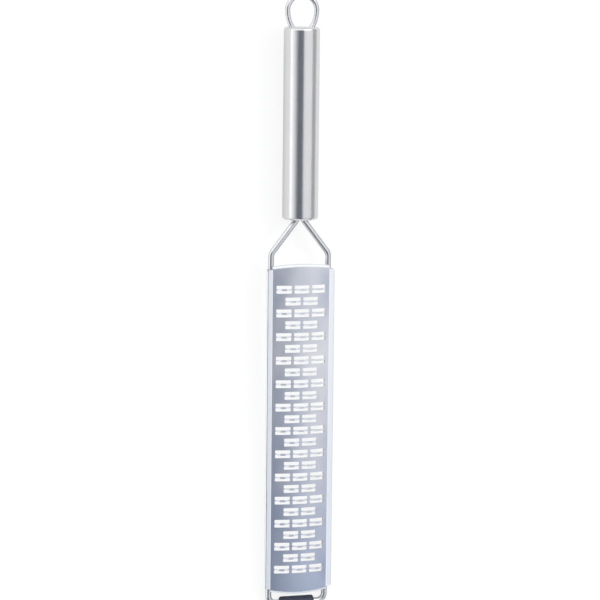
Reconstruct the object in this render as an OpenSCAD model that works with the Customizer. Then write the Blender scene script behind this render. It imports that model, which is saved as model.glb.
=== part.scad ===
// Flat two way grater: a tube handle with a wire hanging loop, a bent wire
// frame, a domed plate with rows of raised bridge blades, and a rubber foot.
// Millimetres. The grater is drawn with its handle axis along Y, the handle's
// lower end at the origin and the blades up, and is then laid down as it comes
// to rest, on the rim of the handle and the sole of the foot.

/* [Handle] */
// outer diameter of the handle tube
handle_d = 23; // [18:0.5:30]
// length of the handle over both end caps
handle_len = 122.4; // [90:0.5:160]
// wall of the handle tube
handle_wall = 0.8; // [0.5:0.1:1.5]
// length of the skirt of each end cap
cap_skirt = 6; // [4:0.5:12]
// thickness of the closed end of a cap
cap_wall = 1.2; // [0.8:0.1:2]
// outer rounding of a cap's rim
cap_edge_r = 2; // [1.5:0.1:4]

/* [Hanging loop] */
// diameter of the loop wire
loop_wire_d = 3.5; // [2.5:0.1:5]
// radius of the loop's top bend, on the wire's centre line
loop_r = 9.5; // [7:0.1:14]
// radius of the long bends at the loop's sides
loop_side_r = 20.7; // [16:0.1:40]
// height of the loop's widest point over the handle
loop_rise = 10.6; // [8:0.1:16]
// length of the straight end of each loop leg, inside the handle
loop_tail = 3; // [2:0.5:6]

/* [Wire frame] */
// diameter of the frame wire
frame_wire_d = 4; // [3:0.1:5]
// distance between the two rods where they leave the handle
neck_spacing = 4.8; // [4:0.1:8]
// angle of the splayed rods from the handle's axis
neck_angle = 37.6; // [25:0.1:50]
// radius of the bend below the handle
neck_bend_r = 3; // [2:0.1:6]
// place of that bend's start over the handle's end
neck_start = 0.3; // [0:0.1:2]
// radius of the bend into the side legs
shoulder_r = 6; // [4:0.1:12]
// distance between the side legs
leg_spacing = 37.9; // [30:0.1:50]
// distance from the handle's end to the crossbar
frame_reach = 253; // [200:0.1:300]
// radius of the corners at the crossbar
corner_r = 5; // [3:0.1:10]
// length of the rods inside the handle
rod_tail = 14; // [8:0.5:30]

/* [Grating plate] */
// thickness of the sheet
sheet_t = 0.6; // [0.4:0.05:1]
// distance from the handle's end to the plate's upper edge
plate_start = 30.2; // [28:0.1:40]
// length of the plate between the starts of its turned down ends
plate_len = 213.9; // [180:0.5:240]
// radius of the dome across the plate
dome_r = 70; // [50:1:120]
// height of the dome's crown over the frame's plane
crown_z = 7.16; // [6:0.02:9]
// half width of the domed field
field_half = 18.7; // [16:0.1:20]
// slope of the side borders
border_slope = 1; // [0:0.5:20]
// radius of the plate's ends, seen from above
end_arc_r = 115; // [80:1:200]
// radius of the turned down ends
lip_r = 2; // [1.2:0.1:3]
// angle through which the ends turn down
lip_angle = 80; // [45:1:90]
// outer radius of the hem around the side legs
hem_r = 2.85; // [2.6:0.05:3.5]
// angle of the hem's end under the leg
hem_end = -115; // [-150:1:-90]
// outward lean of the side walls
wall_lean = 12; // [0:1:20]
// radius of the edge between side wall and border
edge_r = 1; // [0.8:0.1:2]
// rounding of the borders' corners, seen from above
plate_corner_r = 2.5; // [1:0.1:4]

/* [Openings and blades] */
// distance between rows
row_pitch = 7.69; // [6:0.01:9]
// least distance from an end of the plate to the nearest row
end_margin = 14.45; // [10:0.1:20]
// distance between neighbouring openings, measured round the dome
column_pitch = 11.67; // [10.6:0.05:13]
// opening width across the plate
opening_w = 9.9; // [8:0.1:12]
// opening length along the plate
opening_l = 5.2; // [4:0.1:6]
// corner radius of the openings
opening_r = 0.5; // [0.2:0.1:1]
// height of the blades over the plate
blade_h = 1.6; // [0.8:0.1:2]
// length of a blade's level top
blade_top = 3.1; // [2:0.1:6]
// width of a blade in its middle
blade_w = 1.4; // [1:0.1:2.4]
// width of a blade at its roots
blade_root_w = 0.8; // [0.6:0.1:1.2]
// thickness of a blade
blade_t = 0.5; // [0.3:0.05:0.6]

/* [Foot] */
// length of the rubber foot along the crossbar
foot_len = 22.8; // [15:0.1:26]
// outer diameter of the rubber foot
foot_d = 7.8; // [6.5:0.1:12]
// rounding of the foot's ends
foot_edge_r = 1.4; // [0.8:0.1:2]
// height of the crossbar's centre over the foot's flat sole
foot_sole = 3.5; // [3:0.05:5]

/* [Fits] */
// clearance round each wire where it passes through a cap or the foot
wire_fit = 0.05; // [0:0.05:0.3]

/* [Hidden] */
$fn = 96;

// straight pieces are a hair thinner than the bends, and end inside them
seam = 0.01;
lap = 0.1;
handle_r = handle_d / 2;
frame_wire_r = frame_wire_d / 2;
loop_wire_r = loop_wire_d / 2;
foot_r = foot_d / 2;

// hanging loop
loop_y = handle_len + loop_rise;
loop_dip = 2 * cap_wall;
loop_sweep = asin((loop_rise + loop_dip) / loop_side_r);
loop_lap = asin(lap / loop_side_r);

// wire frame, right side
rod_x = neck_spacing / 2;
leg_x = leg_spacing / 2;
bar_y = -frame_reach;
neck_x0 = rod_x + neck_bend_r * (1 - cos(neck_angle));
neck_y0 = neck_start - neck_bend_r * sin(neck_angle);
neck_x1 = leg_x - shoulder_r * (1 - cos(neck_angle));
neck_y1 = neck_y0 - (neck_x1 - neck_x0) / tan(neck_angle);
shoulder_y = neck_y1 - shoulder_r * sin(neck_angle);

// plate section, right side, from the hem up to the domed field
plate_top_y = -plate_start;
plate_low_y = plate_top_y - plate_len;
dome_z = crown_z - dome_r;
field_angle = asin(field_half / dome_r);
field_z = dome_z + dome_r * cos(field_angle);
wall_x0 = leg_x - 0.1 + hem_r * cos(wall_lean);
wall_z0 = -hem_r * sin(wall_lean);
wall_h = (field_z - wall_z0 - edge_r * (sin(wall_lean) + cos(border_slope))
          - (wall_x0 - edge_r * (cos(wall_lean) - sin(border_slope))
             - field_half) * tan(border_slope))
         / (cos(wall_lean) + sin(wall_lean) * tan(border_slope));
wall_x1 = wall_x0 + wall_h * sin(wall_lean);
wall_z1 = wall_z0 + wall_h * cos(wall_lean);
edge_x = wall_x1 - edge_r * cos(wall_lean);
edge_z = wall_z1 + edge_r * sin(wall_lean);
border_x = edge_x + edge_r * sin(border_slope);
border_z = edge_z + edge_r * cos(border_slope);
border_len = norm([border_x - field_half, border_z - field_z]);
border_angle = atan2(field_z - border_z, border_x - field_half);

column_angle = column_pitch / dome_r * 180 / PI;

// odd number of rows, as many as the plate has room for
row_count = 2 * floor((plate_len - 2 * end_margin) / (2 * row_pitch)) + 1;

// rounded corners of the borders
corner_x = edge_x + edge_r - plate_corner_r;
corner_rise = end_arc_r - sqrt(pow(end_arc_r, 2) - pow(corner_x, 2))
              + 0.9 * plate_corner_r;

// turned down ends: a circle in a leaning plane, through the end's middle and
// both of its corners
end_drop_y = end_arc_r - sqrt(pow(end_arc_r, 2) - pow(field_half, 2));
end_drop_z = crown_z - field_z;
end_drop = norm([end_drop_y, end_drop_z]);
end_ring_r = (pow(field_half, 2) + pow(end_drop, 2)) / (2 * end_drop);
end_lean = atan2(end_drop_y, end_drop_z);
end_sweep = asin((field_half + 0.1) / end_ring_r);
lip_inset = 0.05;

// rest: the rim of the lower cap and the sole of the foot share the ground
rest_a = handle_r - cap_edge_r;
rest_b = frame_reach + cap_edge_r;
rest_c = foot_sole - cap_edge_r;
rest_tilt = acos(rest_c / norm([rest_a, rest_b])) - atan2(rest_b, rest_a);
rest_lift = frame_reach * sin(rest_tilt) + foot_sole;
far_y = (loop_y + loop_r) * cos(rest_tilt) + loop_wire_r;
near_y = bar_y * cos(rest_tilt) - foot_r;
rest_y = (far_y + near_y) / 2;

// lays the grater down, centred over the origin
module at_rest() {
    translate([0, -rest_y, rest_lift])
        rotate([rest_tilt, 0, 0])
            children();
}

// turns a body of revolution's axis from Z to Y
module along_y() {
    rotate([-90, 0, 0])
        children();
}

// draws its children on the right side and mirrored on the left
module both_sides() {
    children();
    mirror([1, 0, 0])
        children();
}

// straight wire between two points of the frame's plane, lapped into its bends
module wire_run(p, q, d) {
    translate([p[0], p[1], 0])
        rotate([0, 0, atan2(q[1] - p[1], q[0] - p[0])])
            translate([-lap, 0, 0])
                rotate([0, 90, 0])
                    cylinder(d = d - 2 * seam, h = norm(q - p) + 2 * lap);
}

// bent wire round a centre in the frame's plane
module wire_bend(c, r, a0, a1, d) {
    translate([c[0], c[1], 0])
        rotate([0, 0, a0])
            rotate_extrude(angle = a1 - a0)
                translate([r, 0])
                    circle(d = d);
}

// part of a tube wall along Y, between two angles seen from the foot's end
module wall_bend(c, r, t, a0, a1, len) {
    translate([c[0], 0, c[1]])
        rotate([90, 0, 0])
            rotate([0, 0, a0])
                rotate_extrude(angle = a1 - a0)
                    translate([r - t, 0])
                        square([t, len]);
}

// filled outline of a cap, with a rounded rim
module cap_outline(r, h, edge) {
    square([r - edge, h]);
    translate([0, edge])
        square([r, h - edge]);
    translate([r - edge, edge])
        circle(r = edge);
}

// pressed steel cup that closes one end of the tube
module cap_cup() {
    along_y()
        rotate_extrude()
            intersection() {
                difference() {
                    cap_outline(handle_r, cap_skirt, cap_edge_r);
                    translate([0, cap_wall])
                        cap_outline(handle_r - handle_wall, cap_skirt,
                                    cap_edge_r - handle_wall);
                }
                square([handle_r + 1, cap_skirt]);
            }
}

module handle_tube() {
    color([0.78, 0.79, 0.8])
        translate([0, cap_skirt, 0])
            along_y()
                difference() {
                    cylinder(r = handle_r, h = handle_len - 2 * cap_skirt);
                    translate([0, 0, -1])
                        cylinder(r = handle_r - handle_wall, h = handle_len);
                }
}

// both ends of the loop pass through the upper cap
module upper_end_cap() {
    color([0.76, 0.77, 0.78])
        difference() {
            translate([0, handle_len, 0])
                mirror([0, 1, 0])
                    cap_cup();
            loop_wire(loop_wire_d + 2 * wire_fit);
        }
}

// both rods of the frame pass through one slot in the lower cap
module lower_end_cap() {
    slot_r = frame_wire_r + 2 * wire_fit;
    color([0.76, 0.77, 0.78])
        difference() {
            cap_cup();
            both_sides()
                translate([rod_x, -1, 0])
                    along_y()
                        cylinder(r = slot_r, h = cap_skirt);
            translate([-rod_x, -1, -slot_r])
                cube([neck_spacing, cap_skirt, 2 * slot_r]);
        }
}

// loop of a given wire diameter, also used to open the cap
module loop_wire(d) {
    side_x = loop_r - loop_side_r;
    end = [side_x + loop_side_r * cos(loop_sweep), handle_len - loop_dip];
    way = [-sin(loop_sweep), -cos(loop_sweep)];
    wire_bend([0, loop_y], loop_r, 0, 180, d);
    both_sides() {
        wire_bend([side_x, loop_y], loop_side_r,
                  -loop_sweep, loop_lap, d - 2 * seam);
        wire_run(end, end + loop_tail * way, d - 2 * seam);
    }
}

module hanging_loop() {
    color([0.8, 0.8, 0.8])
        loop_wire(loop_wire_d);
}

// one wire from inside the handle, round the plate and back
module wire_frame() {
    d = frame_wire_d;
    color([0.74, 0.75, 0.76]) {
        both_sides() {
            wire_run([rod_x, rod_tail], [rod_x, neck_start], d);
            wire_bend([rod_x + neck_bend_r, neck_start], neck_bend_r,
                      180, 180 + neck_angle, d);
            wire_run([neck_x0, neck_y0], [neck_x1, neck_y1], d);
            wire_bend([leg_x - shoulder_r, shoulder_y], shoulder_r,
                      0, neck_angle, d);
            wire_run([leg_x, shoulder_y], [leg_x, bar_y + corner_r], d);
            wire_bend([leg_x - corner_r, bar_y + corner_r], corner_r,
                      -90, 0, d);
        }
        wire_run([corner_r - leg_x, bar_y], [leg_x - corner_r, bar_y], d);
    }
}

// side border, wall and hem of the plate on the right
module plate_flange(len) {
    t = sheet_t - 2 * seam;
    translate([border_x, 0, border_z])
        rotate([0, border_angle, 0])
            translate([-border_len - lap / 2, -len, -sheet_t + seam])
                cube([border_len + 1.5 * lap, len, t]);
    wall_bend([edge_x, edge_z], edge_r, sheet_t,
              -wall_lean, 90 - border_slope, len);
    translate([wall_x0, 0, wall_z0])
        rotate([0, wall_lean, 0])
            translate([-sheet_t + seam, -len, -lap])
                cube([t, len, wall_h + 2 * lap]);
    wall_bend([leg_x - 0.1, 0], hem_r, sheet_t, hem_end, -wall_lean, len);
}

// whole section drawn along the plate
module plate_sheet(len) {
    wall_bend([0, dome_z], dome_r, sheet_t,
              90 - field_angle, 90 + field_angle, len);
    both_sides()
        plate_flange(len);
}

// what the upper end leaves out, beyond its wide arc and its rounded corners
module end_cut() {
    reach = leg_spacing;
    difference() {
        translate([-reach, -reach / 3, -10])
            cube([2 * reach, reach, 30]);
        translate([0, -end_arc_r, -11])
            cylinder(r = end_arc_r, h = 32, $fn = 360);
    }
    both_sides()
        translate([corner_x, -corner_rise, -11])
            difference() {
                cube([2 * plate_corner_r, 3 * plate_corner_r, 32]);
                translate([0, 0, -1])
                    cylinder(r = plate_corner_r, h = 34);
            }
}

// draws its children at the upper end and mirrored at the lower end
module both_ends() {
    translate([0, plate_top_y, 0])
        children();
    translate([0, plate_low_y, 0])
        mirror([0, 1, 0])
            children();
}

// turned down end of the dome
module end_lip() {
    translate([0, 0, crown_z])
        rotate([-end_lean, 0, 0])
            translate([0, 0, -end_ring_r])
                rotate([0, 0, 90])
                    rotate([0, -90, 0])
                        rotate([0, 0, -end_sweep])
                            rotate_extrude(angle = 2 * end_sweep)
                                lip_section();
}

// section of a turned down end, as a bent strip
module lip_section() {
    r = lip_r - lip_inset;
    t = sheet_t - 2 * lip_inset;
    translate([end_ring_r - lip_r * cos(end_lean), -lip_r * sin(end_lean)])
        rotate(end_lean + 8)
            intersection() {
                difference() {
                    circle(r = r);
                    circle(r = r - t);
                }
                polygon([[0, 0], [2 * r, 0],
                         [2 * r * cos(lip_angle / 2 + 4),
                          -2 * r * sin(lip_angle / 2 + 4)],
                         [2 * r * cos(lip_angle + 8),
                          -2 * r * sin(lip_angle + 8)]]);
            }
}

// puts its children on the dome, at an angle from the crown and a place along Y
module on_dome(angle, y) {
    translate([0, y, dome_z])
        rotate([0, angle, 0])
            translate([0, 0, dome_r])
                children();
}

// every tooth place: rows of three and of two take turns
module tooth_places() {
    for (row = [0 : row_count - 1]) {
        count = 3 - row % 2;
        for (i = [0 : count - 1])
            on_dome((i - (count - 1) / 2) * column_angle,
                    plate_top_y - end_margin - row * row_pitch)
                children();
    }
}

// punched opening with rounded corners
module opening_cut() {
    w = opening_w / 2;
    l = opening_l / 2;
    r = opening_r;
    translate([0, 0, -3])
        linear_extrude(height = 5) {
            translate([-w + r, -l])
                square([opening_w - 2 * r, opening_l]);
            translate([-w, -l + r])
                square([opening_w, opening_l - 2 * r]);
            for (x = [-1, 1], y = [-1, 1])
                translate([x * (w - r), y * (l - r)])
                    circle(r = r, $fn = 24);
        }
}

// raised bridge across an opening: both of its long edges cut
module bridge_blade() {
    top = blade_top / 2;
    w = opening_w / 2;
    root_z = -0.22;
    low_z = -0.7;
    bow = (blade_w - blade_root_w) / 2;
    bow_r = (pow(w, 2) + pow(bow, 2)) / (2 * bow);
    intersection() {
        translate([0, 2, 0])
            rotate([90, 0, 0])
                linear_extrude(height = 4)
                    polygon([[-w - 0.4, root_z], [-w + 0.2, root_z],
                             [-top, blade_h], [top, blade_h],
                             [w - 0.2, root_z], [w + 0.4, root_z],
                             [w + 0.4, low_z], [w - 0.3, low_z],
                             [top - 0.1, blade_h - blade_t],
                             [-top + 0.1, blade_h - blade_t],
                             [-w + 0.3, low_z], [-w - 0.4, low_z]]);
        translate([0, blade_w / 2 - bow_r, -2])
            cylinder(r = bow_r, h = 5, $fn = 180);
        translate([0, bow_r - blade_w / 2, -2])
            cylinder(r = bow_r, h = 5, $fn = 180);
    }
}

// one stamped sheet: field, borders, hems, turned down ends and blades
module grating_plate() {
    color([0.7, 0.72, 0.78]) {
        difference() {
            union() {
                difference() {
                    translate([0, plate_top_y + 1, 0])
                        plate_sheet(plate_len + 2);
                    both_ends()
                        end_cut();
                }
                both_ends()
                    end_lip();
            }
            tooth_places()
                opening_cut();
        }
        tooth_places()
            bridge_blade();
    }
}

// rubber sleeve on the crossbar, with a flat sole that meets the ground
module end_foot() {
    half = foot_len / 2;
    color([0.15, 0.16, 0.22])
        translate([0, bar_y, 0])
            difference() {
                rotate([0, 90, 0])
                    rotate_extrude()
                        difference() {
                            union() {
                                translate([0, -half])
                                    square([foot_r - foot_edge_r, foot_len]);
                                translate([0, -half + foot_edge_r])
                                    square([foot_r,
                                            foot_len - 2 * foot_edge_r]);
                                for (side = [-1, 1])
                                    translate([foot_r - foot_edge_r,
                                               side * (half - foot_edge_r)])
                                        circle(r = foot_edge_r);
                            }
                            translate([-1, -foot_len])
                                square([1 + frame_wire_r + wire_fit,
                                        2 * foot_len]);
                        }
                rotate([-rest_tilt, 0, 0])
                    translate([-foot_len, -foot_d, -foot_sole - foot_d])
                        cube([2 * foot_len, 2 * foot_d, foot_d]);
            }
}

at_rest() handle_tube();
at_rest() upper_end_cap();
at_rest() lower_end_cap();
at_rest() hanging_loop();
at_rest() wire_frame();
at_rest() grating_plate();
at_rest() end_foot();
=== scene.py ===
"""Looks for the flat two way grater: metals, rubber, studio and camera.

Metres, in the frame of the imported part: +Y runs from the foot to the hanging
loop, +Z is up, and the grater lies on the floor at z = 0.
"""

import math

import bpy
from mathutils import Matrix, Vector


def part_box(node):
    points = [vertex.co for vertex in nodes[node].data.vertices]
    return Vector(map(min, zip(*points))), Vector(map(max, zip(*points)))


# camera, as the photograph was taken: from above, a little from the left
CAMERA_PLACE = Vector((-0.3755, 0.1855, 1.4494))
CAMERA_AIM = Vector((0.0005, 0.0038, 0.0098))
CAMERA_ROLL = math.radians(-0.137)
CAMERA_LENS_MM = 139.53
SENSOR_MM = 36.0
TOWARD_HANDLE = Vector((0, 1, 0))

# floor: its glow, the share of it in what the camera and what metal sees of the
# floor, and how far round the grater it is dimmed in metal, as painted contact shade
FLOOR_SIDE = 8.0
FLOOR_COLOUR = (0.9, 0.9, 0.9)
GLOW_LEVEL = 1.06
CAMERA_GLOW = 0.78
METAL_GLOW = 0.5
CONTACT_REACH = 0.05

# room, as all but the camera sees it
ROOM_COLOUR = (0.15, 0.165, 0.20)

# lamps round a point just over the floor
WHITE = (1.0, 1.0, 1.0)
STUDIO_CENTRE = Vector((0, 0, 0.01))
PANEL_DISTANCE = 1.3
FILL_PLACE = Vector((1.5, 0.3, 1.6))
FILL_SIDE = 0.7
FILL_LEVEL = 6.0

# light panels: name, the side they stand on as x and y, the angles from
# straight up between which they reach, where they start and end along the
# other axis, brightness and colour
PANELS = [
    ("left_low", -1, 0, 76, 89, -0.9, 1.6, 1.5, WHITE),
    ("left_middle", -1, 0, 62, 76, -0.9, 1.6, 1.05, WHITE),
    ("left_high", -1, 0, 48, 62, -0.9, 1.6, 0.68, WHITE),
    ("left_top", -1, 0, 38, 48, -0.9, 1.6, 0.28, (0.97, 0.98, 1.0)),
    ("right_high", 1, 0, 0, 60, -0.20, 1.6, 0.87, (1.0, 0.985, 0.975)),
    ("foot_top", 1, 0, 5, 26, -0.95, -0.20, 0.88, (0.91, 0.95, 1.0)),
    ("foot_right", 1, 0, 27, 60, -0.95, -0.20, 0.70, (0.97, 0.98, 1.0)),
    ("right_low", 1, 0, 62, 89, -0.9, 1.6, 0.34, WHITE),
    ("handle_end", 0, 1, 18, 84, -1.2, 1.2, 1.0, WHITE),
    ("foot_end", 0, -1, 58, 88, -1.0, 1.0, 1.2, (0.95, 0.99, 1.0)),
]

# the lying part: how its wire frame's plane rises toward the handle, and the
# height of that plane at the origin
REST_SLOPE = 0.03137
FRAME_HEIGHT = 0.00967

# the plate over that plane: the radius and top of its dome, and how far from
# the middle the borders start, with a narrow blur
DOME_RADIUS = 0.070
DOME_TOP = 0.00716
BORDER_START = 0.0187
BORDER_BLUR = 0.0002

# the blades: how far from the dome's surface bare metal, partly a painted
# highlight, begins and is full, and the heights between which it fades to a share
# at their flat tops
BARE_AND_HIGHLIGHT_START = 0.00005
BARE_AND_HIGHLIGHT_FULL = 0.00015
BLADE_TOP_START = 0.00157
BLADE_TOP_FULL = 0.001595
BLADE_TOP_SHARE = 0.35

# noise: the same scale along each axis, and the values that a grain and the
# plate's clouds are stretched from
EVEN = (1, 1, 1)
NOISE_RANGE = (0.3, 0.7)
CLOUD_RANGE = (0.36, 0.64)

# colours, in pairs of a darker and a lighter one
HANDLE_COLOURS = ((0.675, 0.67, 0.67), (0.73, 0.725, 0.72))
WIRE_COLOURS = ((0.64, 0.64, 0.65), (0.76, 0.76, 0.76))
UPPER_PLATE_COLOURS = ((0.58, 0.615, 0.695), (0.84, 0.83, 0.85))
# the lower plate colours are a painted reflection: the field turns darker and bluer toward the
# foot
LOWER_PLATE_REFLECTION_COLOURS = ((0.35, 0.42, 0.58), (0.51, 0.57, 0.71))
RUBBER_COLOURS = ((0.031, 0.035, 0.062), (0.046, 0.050, 0.080))

# the plate's borders and bare metal, near white, partly their polish and partly a
# painted highlight; and the power by which its lower colours, a painted reflection,
# fade toward the handle
POLISH_AND_HIGHLIGHT_COLOUR = (0.94, 0.95, 0.96)
LOWER_PLATE_REFLECTION_FADE = 2.2

# roughness, in pairs of a smoother and a rougher value
HANDLE_ROUGHNESS = (0.20, 0.27)
WIRE_ROUGHNESS = (0.20, 0.28)
PLATE_ROUGHNESS = (0.46, 0.56)
RUBBER_ROUGHNESS = (0.42, 0.58)

# what bare metal adds to the plate's roughness, and the borders take away
BARE_ROUGHER = 0.15
BORDER_SMOOTHER = 0.34


def maths(tree, operation, first, second=0.0):
    """One step of arithmetic; each side is a socket or a number."""
    node = tree.nodes.new("ShaderNodeMath")
    node.operation = operation
    for socket, value in zip(node.inputs, (first, second)):
        if isinstance(value, (int, float)):
            socket.default_value = value
        else:
            tree.links.new(value, socket)
    return node.outputs["Value"]


def ramp(tree, value, start, end, low=0.0, high=1.0):
    """The value, mapped from start..end to low..high."""
    node = tree.nodes.new("ShaderNodeMapRange")
    node.inputs["From Min"].default_value = start
    node.inputs["From Max"].default_value = end
    node.inputs["To Min"].default_value = low
    node.inputs["To Max"].default_value = high
    tree.links.new(value, node.inputs["Value"])
    return node.outputs["Result"]


def blend(tree, factor, first, second):
    """A colour between two, by a factor; each is a socket or three numbers."""
    node = tree.nodes.new("ShaderNodeMixRGB")
    tree.links.new(factor, node.inputs["Fac"])
    for socket, colour in ((node.inputs["Color1"], first), (node.inputs["Color2"], second)):
        if isinstance(colour, tuple):
            socket.default_value = (*colour, 1)
        else:
            tree.links.new(colour, socket)
    return node.outputs["Color"]


def noise(tree, stretch, scale, detail):
    """Noise over the part's own coordinates, finer by a factor along each axis."""
    place = tree.nodes.new("ShaderNodeTexCoord")
    mapping = tree.nodes.new("ShaderNodeMapping")
    mapping.inputs["Scale"].default_value = stretch
    texture = tree.nodes.new("ShaderNodeTexNoise")
    texture.inputs["Scale"].default_value = scale
    texture.inputs["Detail"].default_value = detail
    tree.links.new(place.outputs["Object"], mapping.inputs["Vector"])
    tree.links.new(mapping.outputs["Vector"], texture.inputs["Vector"])
    return texture.outputs["Fac"]


def principled(name, metallic):
    """A node material, its node tree and its Principled shader."""
    material = bpy.data.materials.new(name)
    material.use_nodes = True
    tree = material.node_tree
    shader = tree.nodes["Principled BSDF"]
    shader.inputs["Metallic"].default_value = metallic
    return material, tree, shader


def skin(tree, shader, colour, roughness):
    """Links a colour and a roughness to a shader."""
    tree.links.new(colour, shader.inputs["Base Color"])
    tree.links.new(roughness, shader.inputs["Roughness"])


def bump(tree, shader, height, strength, depth):
    """Fine relief on a shader's normal."""
    node = tree.nodes.new("ShaderNodeBump")
    node.inputs["Strength"].default_value = strength
    node.inputs["Distance"].default_value = depth
    tree.links.new(height, node.inputs["Height"])
    tree.links.new(node.outputs["Normal"], shader.inputs["Normal"])


def handle_steel():
    """Polished tube: faint grain along it, and handling marks."""
    material, tree, shader = principled("handle_steel", metallic=1.0)
    grain = noise(tree, stretch=(40, 1, 40), scale=60, detail=4)
    marks = noise(tree, stretch=EVEN, scale=45, detail=6)
    skin(tree, shader, blend(tree, marks, *HANDLE_COLOURS),
         ramp(tree, grain, *NOISE_RANGE, *HANDLE_ROUGHNESS))
    bump(tree, shader, grain, strength=0.05, depth=0.0002)
    return material


def wire_steel():
    """Drawn and polished wire, a little uneven."""
    material, tree, shader = principled("wire_steel", metallic=1.0)
    mottle = noise(tree, stretch=EVEN, scale=160, detail=5)
    streaks = noise(tree, stretch=(12, 1, 12), scale=120, detail=3)
    skin(tree, shader, blend(tree, mottle, *WIRE_COLOURS),
         ramp(tree, mottle, *NOISE_RANGE, *WIRE_ROUGHNESS))
    bump(tree, shader, streaks, strength=0.08, depth=0.0002)
    return material


def foot_rubber():
    """Moulded rubber with a fine matt skin."""
    material, tree, shader = principled("foot_rubber", metallic=0.0)
    pores = noise(tree, stretch=EVEN, scale=900, detail=3)
    dust = noise(tree, stretch=EVEN, scale=130, detail=5)
    skin(tree, shader, blend(tree, dust, *RUBBER_COLOURS),
         ramp(tree, dust, *NOISE_RANGE, *RUBBER_ROUGHNESS))
    bump(tree, shader, pores, strength=0.25, depth=0.0001)
    return material


def part_place(tree):
    """X, Y, and height over the frame's plane, of a point on the lying grater."""
    place = tree.nodes.new("ShaderNodeTexCoord")
    split = tree.nodes.new("ShaderNodeSeparateXYZ")
    tree.links.new(place.outputs["Object"], split.inputs["Vector"])
    rise = maths(tree, "MULTIPLY", split.outputs["Y"], REST_SLOPE)
    level = maths(tree, "SUBTRACT", split.outputs["Z"], rise)
    height = maths(tree, "SUBTRACT", level, FRAME_HEIGHT)
    return split.outputs["X"], split.outputs["Y"], height


def plate_masks(tree, x, height):
    """Where the sheet is border, and where it is cut or ground to bare metal, which is partly a
    painted highlight.
    """
    border = ramp(tree, maths(tree, "ABSOLUTE", x),
                  BORDER_START - BORDER_BLUR, BORDER_START + BORDER_BLUR)
    over_axis = maths(tree, "SUBTRACT", height, DOME_TOP - DOME_RADIUS)
    squares = maths(tree, "ADD", maths(tree, "MULTIPLY", x, x),
                    maths(tree, "MULTIPLY", over_axis, over_axis))
    raised = maths(tree, "SUBTRACT", maths(tree, "SQRT", squares), DOME_RADIUS)
    blade = ramp(tree, raised, BARE_AND_HIGHLIGHT_START, BARE_AND_HIGHLIGHT_FULL)
    top = ramp(tree, raised, BLADE_TOP_START, BLADE_TOP_FULL, 1.0, BLADE_TOP_SHARE)
    # cut walls and underside: partly burnished edge, partly a painted highlight against the
    # shade they reflect
    under = ramp(tree, raised, -BARE_AND_HIGHLIGHT_FULL, -BARE_AND_HIGHLIGHT_START, 1.0, 0.0)
    bare_and_highlight = maths(tree, "MAXIMUM", maths(tree, "MULTIPLY", blade, top), under)
    return border, bare_and_highlight


def plate_steel():
    """Satin sheet: rolled grain, cloudy polish, brighter borders and ground blades, both partly
    a painted highlight, and a painted reflection that makes the field darker and bluer toward
    the foot.
    """
    material, tree, shader = principled("plate_steel", metallic=1.0)
    grain = noise(tree, stretch=(60, 1.5, 60), scale=50, detail=5)
    mist = noise(tree, stretch=(1, 0.7, 1), scale=26, detail=2)
    cloud = ramp(tree, mist, *CLOUD_RANGE)
    x, y, height = part_place(tree)
    border, bare_and_highlight = plate_masks(tree, x, height)
    foot_corner, handle_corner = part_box("grating_plate")
    # painted reflection: the field's colour turns darker and bluer toward the foot
    footward = ramp(tree, y, foot_corner.y, handle_corner.y, 1.0, 0.0)
    field = blend(tree, maths(tree, "POWER", footward, LOWER_PLATE_REFLECTION_FADE),
                  blend(tree, cloud, *UPPER_PLATE_COLOURS),
                  blend(tree, cloud, *LOWER_PLATE_REFLECTION_COLOURS))
    # borders and bare metal take a near-white colour, partly their polish and partly a painted
    # highlight
    colour = blend(tree, maths(tree, "MAXIMUM", border, bare_and_highlight), field, POLISH_AND_HIGHLIGHT_COLOUR)
    satin = ramp(tree, grain, *NOISE_RANGE, *PLATE_ROUGHNESS)
    rougher = maths(tree, "ADD", satin, maths(tree, "MULTIPLY", bare_and_highlight, BARE_ROUGHER))
    smoother = maths(tree, "MULTIPLY", border, BORDER_SMOOTHER)
    skin(tree, shader, colour, maths(tree, "SUBTRACT", rougher, smoother))
    bump(tree, shader, grain, strength=0.05, depth=0.0002)
    return material


def add_object(name, data):
    """A new object in the scene."""
    thing = bpy.data.objects.new(name, data)
    bpy.context.scene.collection.objects.link(thing)
    return thing


def empty_tree(owner):
    """The node tree of a material or world, with nothing in it."""
    owner.use_nodes = True
    owner.node_tree.nodes.clear()
    return owner.node_tree


def shader_mix(tree, share, first, second):
    """Two shaders, mixed by a share."""
    mix = tree.nodes.new("ShaderNodeMixShader")
    tree.links.new(share, mix.inputs["Fac"])
    tree.links.new(first, mix.inputs[1])
    tree.links.new(second, mix.inputs[2])
    return mix.outputs["Shader"]


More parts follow.
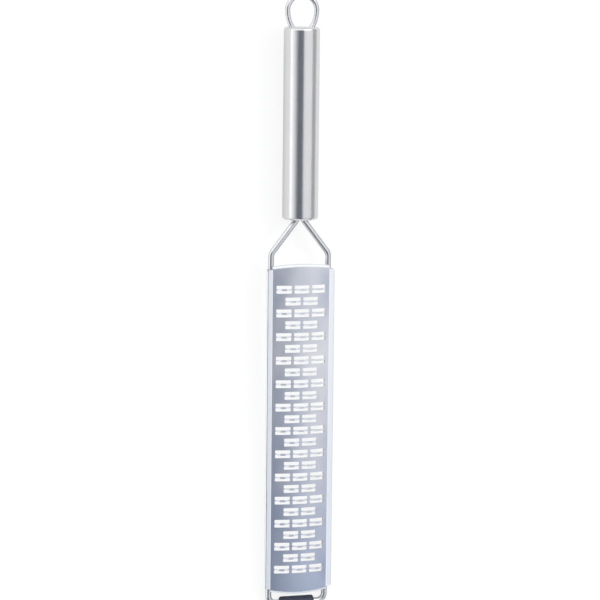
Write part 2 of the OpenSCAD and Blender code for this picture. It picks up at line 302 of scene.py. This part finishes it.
def floor_material():
    """Pale floor that keeps the shadow, and glows for the camera and in metal.

    In metal the glow fades where the grater stands close over the floor, a painted contact
    shade.
    """
    material = bpy.data.materials.new("floor")
    tree = empty_tree(material)
    out = tree.nodes.new("ShaderNodeOutputMaterial")
    matt = tree.nodes.new("ShaderNodeBsdfDiffuse")
    matt.inputs["Color"].default_value = (*FLOOR_COLOUR, 1)
    glow = tree.nodes.new("ShaderNodeEmission")
    glow.inputs["Strength"].default_value = GLOW_LEVEL
    path = tree.nodes.new("ShaderNodeLightPath")
    # painted contact shade: ambient occlusion dims the floor's glow in metal close under the
    # grater
    contact = tree.nodes.new("ShaderNodeAmbientOcclusion")
    contact.inputs["Distance"].default_value = CONTACT_REACH
    bounced = maths(tree, "MAXIMUM", path.outputs["Is Glossy Ray"],
                    path.outputs["Is Transmission Ray"])
    in_metal = maths(tree, "MULTIPLY", maths(tree, "MULTIPLY", bounced, METAL_GLOW),
                     contact.outputs["AO"])
    seen = maths(tree, "MULTIPLY", path.outputs["Is Camera Ray"], CAMERA_GLOW)
    lit = shader_mix(tree, in_metal, matt.outputs["BSDF"], glow.outputs["Emission"])
    tree.links.new(shader_mix(tree, seen, lit, glow.outputs["Emission"]),
                   out.inputs["Surface"])
    return material


def lay_floor():
    """One large pale plane at z = 0."""
    half = FLOOR_SIDE / 2
    mesh = bpy.data.meshes.new("floor")
    mesh.from_pydata([(-half, -half, 0), (half, -half, 0), (half, half, 0), (-half, half, 0)],
                     [], [(0, 1, 2, 3)])
    mesh.materials.append(floor_material())
    add_object("floor", mesh)


def set_world():
    """A dim bluish room, shown white to the camera."""
    world = bpy.data.worlds.new("room")
    bpy.context.scene.world = world
    tree = empty_tree(world)
    out = tree.nodes.new("ShaderNodeOutputWorld")
    room = tree.nodes.new("ShaderNodeBackground")
    room.inputs["Color"].default_value = (*ROOM_COLOUR, 1)
    white = tree.nodes.new("ShaderNodeBackground")
    white.inputs["Color"].default_value = (*WHITE, 1)
    path = tree.nodes.new("ShaderNodeLightPath")
    tree.links.new(shader_mix(tree, path.outputs["Is Camera Ray"], room.outputs["Background"],
                              white.outputs["Background"]),
                   out.inputs["Surface"])


def facing(place, side, back):
    """A placement at a point, with its x axis along side and its z axis along back."""
    turn = Matrix((side, back.cross(side), back)).transposed().to_4x4()
    return Matrix.Translation(place) @ turn


def area_light(name, place, side, back, width, height, level, colour):
    """A soft lamp of a given brightness that shines against back, out of the camera's sight."""
    lamp = bpy.data.lights.new(name, "AREA")
    lamp.shape = "RECTANGLE"
    lamp.size = width
    lamp.size_y = height
    lamp.energy = level * math.pi * width * height
    lamp.color = colour
    light = add_object(name, lamp)
    light.matrix_world = facing(place, side, back)
    light.visible_camera = False
    return light


def light_studio():
    """Panels round the grater, and a fill lamp that metal doesn't show."""
    for name, x, y, start, end, low, high, level, colour in PANELS:
        tilt = math.radians((start + end) / 2)
        back = Vector((x * math.sin(tilt), y * math.sin(tilt), math.cos(tilt)))
        side = Vector((abs(y), abs(x), 0))
        place = STUDIO_CENTRE + PANEL_DISTANCE * back + side * (low + high) / 2
        reach = 2 * PANEL_DISTANCE * math.tan(math.radians(end - start) / 2)
        area_light(name, place, side, back, high - low, reach, level, colour)
    back = (FILL_PLACE - STUDIO_CENTRE).normalized()
    side = TOWARD_HANDLE.cross(back).normalized()
    fill = area_light("fill", FILL_PLACE, side, back, FILL_SIDE, FILL_SIDE, FILL_LEVEL, WHITE)
    fill.visible_glossy = False


def set_camera():
    """The photograph's view of the grater."""
    data = bpy.data.cameras.new("camera")
    data.lens = CAMERA_LENS_MM
    data.sensor_width = SENSOR_MM
    camera = add_object("camera", data)
    back = (CAMERA_PLACE - CAMERA_AIM).normalized()
    right = TOWARD_HANDLE.cross(back).normalized()
    camera.matrix_world = (facing(CAMERA_PLACE, right, back)
                           @ Matrix.Rotation(-CAMERA_ROLL, 4, "Z"))
    bpy.context.scene.camera = camera


def dress(pieces, material):
    """Gives CAD nodes one material."""
    for piece in pieces:
        piece.data.materials.clear()
        piece.data.materials.append(material)


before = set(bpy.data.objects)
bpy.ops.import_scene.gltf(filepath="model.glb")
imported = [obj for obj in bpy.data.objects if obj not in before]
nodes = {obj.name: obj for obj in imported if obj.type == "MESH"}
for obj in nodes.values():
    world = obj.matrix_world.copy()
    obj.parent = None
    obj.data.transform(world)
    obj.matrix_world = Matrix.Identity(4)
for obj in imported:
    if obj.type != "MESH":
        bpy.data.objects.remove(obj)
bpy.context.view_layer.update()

dress([nodes["handle_tube"], nodes["upper_end_cap"], nodes["lower_end_cap"]], handle_steel())
dress([nodes["hanging_loop"], nodes["wire_frame"]], wire_steel())
dress([nodes["grating_plate"]], plate_steel())
dress([nodes["end_foot"]], foot_rubber())

lay_floor()
light_studio()
set_world()
set_camera()
bpy.context.scene.view_settings.view_transform = "Standard"
